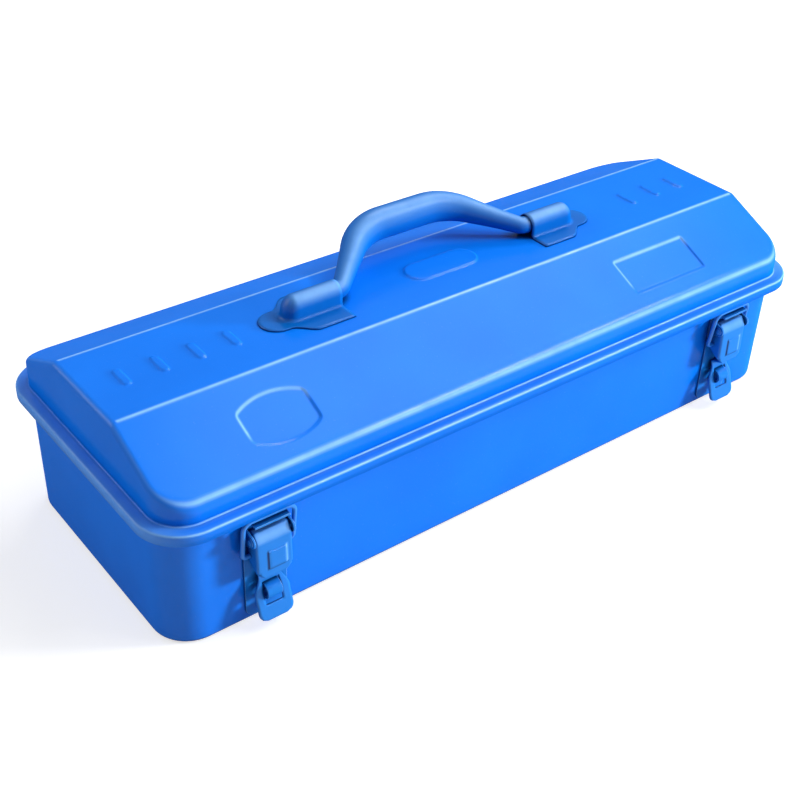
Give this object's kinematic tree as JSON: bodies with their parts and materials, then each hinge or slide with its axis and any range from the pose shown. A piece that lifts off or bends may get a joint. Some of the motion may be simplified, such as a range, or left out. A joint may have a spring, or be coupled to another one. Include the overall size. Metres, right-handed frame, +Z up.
{
  "type": "metal toolbox",
  "caption": "Long sheet-steel toolbox with a hinged cambered lid, a folding tube handle and draw latches with wire bails along the front.",
  "frame": {"origin": "centre of the closed box's footprint, on the ground: X and Y are the middle of the bounding box and Z is its underside", "axes": "+X along the box to the right seen from the latch side, -Y towards the latch side, +Z up"},
  "size_m": [0.413, 0.1684, 0.1273],
  "materials": {
    "shell_paint": "glossy baked enamel, blue",
    "hardware_paint": "glossy baked enamel over pressed hardware, blue",
    "pin_paint": "glossy enamel over steel pins, blue"
  },
  "bodies": {
    "tray": {"body_tray": "shell_paint", "left_latch_base": "hardware_paint", "right_latch_base": "hardware_paint", "left_latch_pin": "pin_paint", "right_latch_pin": "pin_paint", "left_latch_rivets": "hardware_paint", "right_latch_rivets": "hardware_paint", "left_hinge_body_leaf": "hardware_paint", "right_hinge_body_leaf": "hardware_paint", "left_hinge_pin": "pin_paint", "right_hinge_pin": "pin_paint", "left_hinge_body_rivets": "hardware_paint", "right_hinge_body_rivets": "hardware_paint"},
    "lid": {"lid_shell": "shell_paint", "left_handle_bracket": "shell_paint", "right_handle_bracket": "shell_paint", "left_keeper": "hardware_paint", "right_keeper": "hardware_paint", "left_hinge_lid_leaf": "hardware_paint", "right_hinge_lid_leaf": "hardware_paint", "left_hinge_lid_rivets": "hardware_paint", "right_hinge_lid_rivets": "hardware_paint"},
    "handle": {"carry_handle": "shell_paint"},
    "left_lever": {"left_latch_lever": "hardware_paint"},
    "right_lever": {"right_latch_lever": "hardware_paint"},
    "left_bail": {"left_latch_bail": "hardware_paint"},
    "right_bail": {"right_latch_bail": "hardware_paint"}
  },
  "joints": [
    {"name": "lid_hinge", "type": "hinge", "parent": "tray", "child": "lid", "pos_m": [0, 0.08135, 0.066], "axis": [-1, 0, 0], "range_deg": [0, 105]},
    {"name": "handle_pivot", "type": "hinge", "parent": "lid", "child": "handle", "pos_m": [0, -0.00185, 0.1082], "axis": [1, 0, 0], "range_deg": [0, 140]},
    {"name": "left_lever_pivot", "type": "hinge", "parent": "tray", "child": "left_lever", "pos_m": [-0.1523, -0.08105, 0.053], "axis": [-1, 0, 0], "range_deg": [0, 130]},
    {"name": "left_bail_pivot", "type": "hinge", "parent": "left_lever", "child": "left_bail", "pos_m": [-0.1523, -0.07765, 0.0423], "axis": [1, 0, 0], "range_deg": [0, 130]},
    {"name": "right_lever_pivot", "type": "hinge", "parent": "tray", "child": "right_lever", "pos_m": [0.1523, -0.08105, 0.053], "axis": [-1, 0, 0], "range_deg": [0, 130]},
    {"name": "right_bail_pivot", "type": "hinge", "parent": "right_lever", "child": "right_bail", "pos_m": [0.1523, -0.07765, 0.0423], "axis": [1, 0, 0], "range_deg": [0, 130]}
  ],
  "couplings": [
    {"joint": "left_bail_pivot", "follows": "left_lever_pivot", "ratio": 1},
    {"joint": "right_bail_pivot", "follows": "right_lever_pivot", "ratio": 1}
  ]
}
